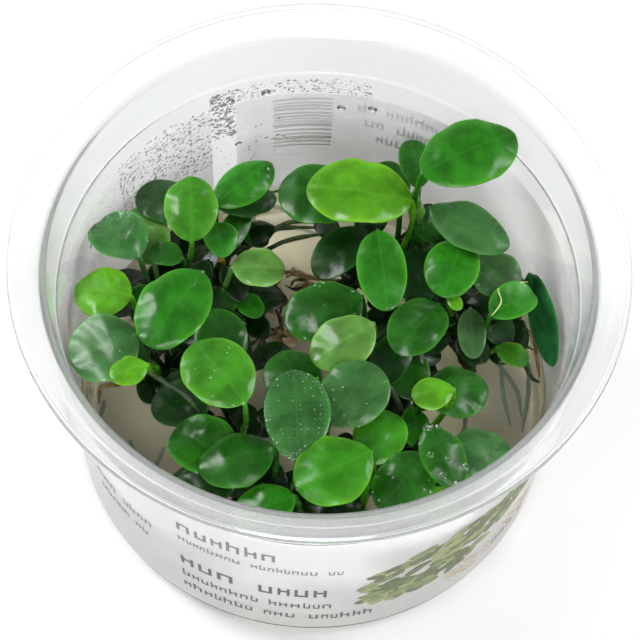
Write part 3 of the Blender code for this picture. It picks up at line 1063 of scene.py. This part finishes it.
def make_undergrowth(plant, line, finishes):
    """Small leaves that crowd round a rhizome under the canopy, joined in one mesh, in a very dark green
    that paints the shade among them.
    """
    rng = random.Random(plant)
    joined = bmesh.new()
    spine = bent_line([(x, y, 0.0) for x, y in line], 12)
    for _ in range(UNDERGROWTH):
        crown = rng.choice(spine)
        heading = rng.uniform(0.0, 360.0)
        reach = rng.uniform(3.0, 9.0)
        length = rng.uniform(6.0, 10.0)
        x = crown.x + reach * math.cos(math.radians(heading))
        y = crown.y + reach * math.sin(math.radians(heading))
        if math.hypot(x, y) > UNDERGROWTH_REACH:
            continue
        middle = (x, y, rng.uniform(19.0, 29.0))
        width = length * rng.uniform(0.6, 0.8)
        pitch = rng.uniform(-25, 15)
        roll = rng.uniform(-25, 25)
        curl = rng.uniform(-0.3, 0.3)
        foot = (crown.x, crown.y)
        mesh = leaf_mesh("under", foot, middle, heading, pitch, roll, length, width, curl, rng)
        joined.from_mesh(mesh)
        bpy.data.meshes.remove(mesh)
    mesh = bpy.data.meshes.new(f"undergrowth_{plant}")
    joined.to_mesh(mesh)
    joined.free()
    add_piece(f"undergrowth_{plant}", mesh, finishes["shade"])


def make_rhizome(name, line, finishes):
    height = GEL_TOP + GAP + RHIZOME_RADIUS - RHIZOME_SINK
    points = bent_line([(x, y, height) for x, y in line], RHIZOME_STEPS)
    bm = bmesh.new()
    rod_body(bm, points, tapered(RHIZOME_STEPS, RHIZOME_RADIUS, 0.5, 0.6), RHIZOME_SIDES, 0.5, len(name))
    mesh = mesh_from(name, bm)
    add_piece(f"creeping_{name}", mesh, finishes["rhizome"], f"rhizome_{name}")


def make_plants(finishes):
    for plant, (line, leaves) in PLANTLETS.items():
        make_rhizome(plant, line, finishes)
        make_undergrowth(plant, line, finishes)
        for number, row in enumerate(leaves, start=1):
            make_leaf(f"blade_{plant}_{number}", row, finishes, f"leaf_{plant}_{number}")
    for number, row in enumerate(SMALL_LEAVES, start=1):
        make_leaf(f"small_leaf_{number}", row, finishes)


# ---------------------------------------------------------------- roots

# Roots, stray petioles and torn edges: name, radius in mm, finish, points in mm.
ROOTS = (
    ("back_a", 0.5, "olive_root", ((-15, 22.5, 19), (-10.5, 24, 23), (-6, 27, 23.5), (-1, 29.5, 20))),
    (
        "back_b", 0.45, "olive_root",
        ((-17, 22.5, 17), (-13.5, 24, 20.5), (-9.5, 25.5, 22.5), (-5, 27, 22), (0, 29, 19)),
    ),
    ("dark_stem", 0.45, "olive_root", ((-14.5, 21, 17), (-8, 22.5, 23), (-4, 24, 23.5), (1.5, 27.5, 20))),
    ("thin_a", 0.3, "olive_root", ((-16, 33, 15), (-10, 37, 17), (-6, 38, 17), (-3, 38, 15))),
    ("ochre", 0.45, "ochre_root", ((-10, 19, 15), (-7, 21, 16), (-2, 20, 16.5), (4, 20, 16))),
    ("dark_a", 0.35, "rhizome", ((-11, 20, 15.5), (-9, 19, 16.5), (-5.5, 15, 16), (-4, 11, 15))),
    ("dark_b", 0.3, "rhizome", ((-12, 17, 15.5), (-8, 14, 16.5), (-6, 9, 16), (-5, 6, 14.5))),
    (
        "right_olive", 0.45, "olive_root",
        ((33, 9, 17), (35.5, 7, 17.5), (37, 4.5, 16.5), (38.5, 2.5, 15.5), (39.8, 2, 15)),
    ),
    ("right_dark", 0.35, "olive_root", ((28, 9, 16), (31, 8, 17.5), (35, 8.5, 17.5), (38.5, 8, 16))),
    (
        "right_low", 0.35, "ochre_root",
        ((33, 11, 18), (36, 11, 19), (38.5, 9.5, 17), (39.5, 5, 15.5), (39.8, 3, 15)),
    ),
    ("left", 0.4, "ochre_root", ((-34, -3, 15), (-37, -4.5, 16.5), (-37.5, -6.5, 14))),
    (
        "stray_petiole", 0.5, "olive_root",
        ((-28, -10, 34), (-25, -11.5, 33), (-21, -13.5, 31.5), (-17.5, -16.5, 28)),
    ),
    (
        "low_petiole", 0.5, "olive_root",
        ((-24, -22, 16), (-21.5, -20.5, 18.5), (-19, -19.5, 21), (-16, -19, 24)),
    ),
    ("rough_petiole", 0.6, "olive_root", ((12, -7, 30), (14.5, -10, 27.5), (16, -12.5, 24), (18, -14, 20))),
    ("fragment", 0.6, "debris", ((23, -19.5, 17.5), (24, -19.5, 18), (25, -19.5, 18))),
    ("torn_edge", 0.3, "lime", ((0.5, -13.5, 41.5), (1, -16, 42), (2, -18.5, 41.5))),
    (
        "cream_edge", 0.14, "cream",
        ((29.5, 2.5, 37), (31, 5, 37.5), (30.5, 7.5, 37.5), (33, 9, 37), (35.5, 9.5, 37)),
    ),
    ("sheath", 1.5, "lime", ((17.5, 22.5, 19), (18, 23, 26), (16.5, 23.5, 34), (15.5, 23.5, 41))),
    (
        "yellow", 0.35, "ochre_root",
        ((-22, 31, 15), (-20, 32.5, 18), (-18.5, 33, 18), (-16.5, 32, 19), (-15, 30, 17)),
    ),
)


# Roots sealed in the gel, as points in mm.
GEL_ROOTS = (
    ((-12.5, 32.5, 13.2), (-12.5, 35.5, 13.2), (-9.5, 36.5, 13.2), (-6.5, 35.5, 13.2)),
    ((-14, 27, 13.2), (-10, 31, 13.2), (-4, 32, 13.2), (1, 30, 13)),
    ((33, 10, 13.2), (33.5, 1, 13), (35, -6, 12.5)),
    ((29.5, 10, 13.2), (35.5, 2, 13), (37, -4, 12.5)),
    ((38, 6.5, 13.2), (38, 0.5, 13), (37, -7, 12.5)),
    ((26, -1, 13.2), (27, -6, 13), (26, -11, 13), (28, -16, 12.5)),
    ((-36.5, -5.5, 13.2), (-37, -10, 13.2), (-35.5, -14, 13)),
    ((-25.5, -14, 13.2), (-26.5, -18, 13.2), (-27, -22.5, 13)),
    ((-31.5, -13, 13.2), (-30, -17, 13.2), (-31.5, -20.5, 13)),
)
GEL_ROOT_RADIUS = 0.42
ROOT_SIDES = 8

# Scraps round the back plantlet's foot: finish, how many and their radius in mm.
SCRAPS = (("debris", 16, 0.6), ("rhizome", 24, 0.28), ("ochre_root", 12, 0.35))


def make_sealed_roots(finishes):
    bm = bmesh.new()
    for number, points in enumerate(GEL_ROOTS):
        line = smooth_line(points, 10)
        rod_body(bm, line, tapered(len(line), GEL_ROOT_RADIUS, 0.8, 0.5), ROOT_SIDES, 0.3, number)
    add_piece("sealed_roots", mesh_from("sealed_roots", bm), finishes["gel_root"])


def make_debris(finishes):
    """Curls of old pale tissue and fine dark roots that lie round the back plantlet's foot."""
    rng = random.Random(5)
    for finish, count, thick in SCRAPS:
        bm = bmesh.new()
        for number in range(count):
            x = rng.uniform(-15.0, -2.0)
            y = rng.uniform(7.0, 20.0)
            heading = rng.uniform(0.0, 2.0 * math.pi)
            step = Vector((math.cos(heading), math.sin(heading), 0.0)) * rng.uniform(1.2, 2.6)
            first = Vector((x, y, GEL_TOP + rng.uniform(0.6, 2.4)))
            side = Vector((-step.y, step.x, rng.uniform(0.0, 1.4))) * rng.uniform(-0.8, 0.8)
            line = smooth_line((first, first + step + side, first + step * 2), 5)
            radii = tapered(len(line), thick * rng.uniform(0.6, 1.2), 0.4, 0.3)
            rod_body(bm, line, radii, ROOT_SIDES, 0.6, number)
        mesh = mesh_from(f"scraps_{finish}", bm)
        add_piece(f"scraps_{finish}", mesh, finishes[finish])


def make_roots(finishes):
    for name, radius, finish, points in ROOTS:
        line = smooth_line(points, 8)
        bm = bmesh.new()
        rod_body(bm, line, tapered(len(line), radius, 0.8, 0.4), ROOT_SIDES, 0.3, radius * 10)
        add_piece(f"root_{name}", mesh_from(name, bm), finishes[finish])


# ---------------------------------------------------------------- dew

# Patches of dew on the inside of the wall: angles from and to, heights from and to, drops, size and bulge.
DEW_PATCHES = (
    (112.5, 118.7, 33, 46, 240, 0.22, 0.35),
    (119, 146, 26, 43, 900, 0.16, 0.16),
    (80, 119, 42, 46, 330, 0.15, 0.3),
    (146, 175, 22, 40, 300, 0.12, 0.2),
    (95, 118, 24, 36, 60, 0.14, 0.2),
)
DROP_SIDES = 8
DROP_PROFILE = ((1.0, 0.0), (0.85, 0.5), (0.5, 0.88))
LARGE_DROP_BULGE = 0.3
LEAF_DROP_BULGE = 0.35

# Wet leaves: the piece, its drops and their size.
WET_LEAVES = (
    ("blade_front_left_4", 320, 0.13),
    ("blade_left_back_3", 110, 0.12),
    ("blade_front_right_2", 14, 0.5),
    ("blade_front_right_3", 30, 0.2),
    ("blade_front_2", 40, 0.14),
    ("blade_left_2", 30, 0.13),
    ("blade_left_3", 10, 0.14),
    ("blade_middle_left_3", 14, 0.2),
    ("blade_back_1", 10, 0.25),
    ("blade_right_2", 40, 0.13),
    ("blade_front_4", 8, 0.14),
    ("blade_middle_1", 20, 0.2),
)

# Single large drops: angle, height, size.
LARGE_DROPS = ((105, 43, 0.9), (87, 38, 0.8), (79.5, 39, 0.9), (112, 30, 0.7), (160, 33, 0.6))


def add_drop(bm, spot, normal, size, height, stretch=1.0):
    """Adds a closed flattened drop that sits on a surface, in mm."""
    across = normal.orthogonal().normalized()
    if abs(normal.z) < 0.7:
        across = normal.cross(Vector((0.0, 0.0, 1.0))).normalized()
    other = normal.cross(across)
    rings = []
    for share, rise in DROP_PROFILE:
        ring = []
        for k in range(DROP_SIDES):
            turn = 2.0 * math.pi * k / DROP_SIDES
            flat = across * math.cos(turn) + other * math.sin(turn) * stretch
            ring.append(bm.verts.new((spot + flat * size * share + normal * height * rise) * MM))
        rings.append(ring)
    top = bm.verts.new((spot + normal * height) * MM)
    bm.faces.new(rings[0])
    for k in range(DROP_SIDES):
        m = (k + 1) % DROP_SIDES
        bm.faces.new((rings[0][k], rings[0][m], rings[1][m], rings[1][k]))
        bm.faces.new((rings[1][k], rings[1][m], rings[2][m], rings[2][k]))
        bm.faces.new((rings[2][k], rings[2][m], top))


def make_dew(finishes):
    rng = random.Random(3)
    bm = bmesh.new()
    drops = [(angle, height, size, LARGE_DROP_BULGE) for angle, height, size in LARGE_DROPS]
    for start, end, low, high, count, size, bulge in DEW_PATCHES:
        for _ in range(count):
            angle = rng.uniform(start, end)
            height = rng.uniform(low, high)
            drops.append((angle, height, size * rng.uniform(0.5, 1.6), bulge))
    for angle, height, size, bulge in drops:
        turn = math.radians(angle)
        outward = Vector((math.cos(turn), math.sin(turn), 0.0))
        spot = outward * (wall_radius(height) - WALL) + Vector((0.0, 0.0, height))
        add_drop(bm, spot, -outward, size, bulge * size, rng.uniform(0.8, 1.3))
    add_piece("wall_dew", mesh_from("wall_dew", bm), finishes["dew"])


def make_leaf_drops(finishes):
    """Water on the upper faces of the leaves that are wet."""
    rng = random.Random(9)
    bm = bmesh.new()
    for name, count, size in WET_LEAVES:
        mesh = bpy.data.objects[name].data
        upper = [face for face in mesh.polygons if face.normal.z > 0.6 and face.center.z / MM > 24.0]
        for _ in range(count):
            face = rng.choice(upper)
            radius = size * rng.uniform(0.5, 1.5)
            stretch = rng.uniform(0.8, 1.3)
            bulge = LEAF_DROP_BULGE * radius
            add_drop(bm, face.center / MM, face.normal.normalized(), radius, bulge, stretch)
    add_piece("leaf_drops", mesh_from("leaf_drops", bm), finishes["dew"])


# ---------------------------------------------------------------- stage, light and camera

CAMERA_SPOT = (0.0005, -0.2048, 0.4017)
CAMERA_ELEVATION = 60.7
CAMERA_ROLL = -0.054
CAMERA_LENS = 139.5

FLOOR_SIZE = 2.0
FLOOR_DROP = 0.0002
AMBIENT = 0.3

# Soft round lights, in metres and watts: name, place, width, power.
LIGHTS = (
    ("key", (-0.5, 0.2, 0.55), 0.32, 3.6),
    ("fill", (0.55, 0.1, 0.56), 0.32, 2.7),
    ("front", (0.0, -0.55, 0.58), 0.4, 3.0),
)


def make_camera():
    tilt = math.radians(CAMERA_ELEVATION)
    away = Vector((0.0, -math.cos(tilt), math.sin(tilt)))
    right = Vector((1.0, 0.0, 0.0))
    top = Vector((0.0, math.sin(tilt), math.cos(tilt)))
    turned_right = right * math.cos(CAMERA_ROLL) - top * math.sin(CAMERA_ROLL)
    turned_top = right * math.sin(CAMERA_ROLL) + top * math.cos(CAMERA_ROLL)
    data = bpy.data.cameras.new("camera")
    data.lens = CAMERA_LENS
    data.sensor_width = 36.0
    data.clip_start = 0.01
    camera = bpy.data.objects.new("camera", data)
    facing = Matrix((turned_right, turned_top, away)).transposed().to_4x4()
    camera.matrix_world = Matrix.Translation(CAMERA_SPOT) @ facing
    bpy.context.scene.collection.objects.link(camera)
    bpy.context.scene.camera = camera


def add_soft_light(name, spot, size, power):
    data = bpy.data.lights.new(name, "AREA")
    data.shape = "DISK"
    data.size = size
    data.energy = power
    light = bpy.data.objects.new(name, data)
    light.location = spot
    light.rotation_euler = (Vector((0.0, 0.0, 0.03)) - Vector(spot)).to_track_quat("-Z", "Y").to_euler()
    bpy.context.scene.collection.objects.link(light)


def make_floor():
    bm = bmesh.new()
    bmesh.ops.create_grid(bm, x_segments=1, y_segments=1, size=FLOOR_SIZE)
    floor = bpy.data.objects.new("floor", mesh_from("floor", bm))
    floor.location.z = -FLOOR_DROP
    floor.data.materials.append(plain_material("floor", (0.88, 0.88, 0.88), 0.9))
    bpy.context.scene.collection.objects.link(floor)


def make_stage():
    make_floor()
    world = bpy.data.worlds.new("studio")
    world.use_nodes = True
    world.node_tree.nodes["Background"].inputs["Color"].default_value = colour(1.0, 1.0, 1.0)
    world.node_tree.nodes["Background"].inputs["Strength"].default_value = AMBIENT
    bpy.context.scene.world = world
    for name, spot, size, power in LIGHTS:
        add_soft_light(name, spot, size, power)
    bpy.context.scene.view_settings.view_transform = "Standard"


def main():
    make_camera()
    finishes = make_finishes()
    make_cup(finishes)
    make_gel(finishes)
    make_label(finishes)
    make_print(finishes)
    make_printed_clump(finishes)
    make_plants(finishes)
    make_roots(finishes)
    make_sealed_roots(finishes)
    make_debris(finishes)
    make_dew(finishes)
    make_leaf_drops(finishes)
    make_stage()


main()
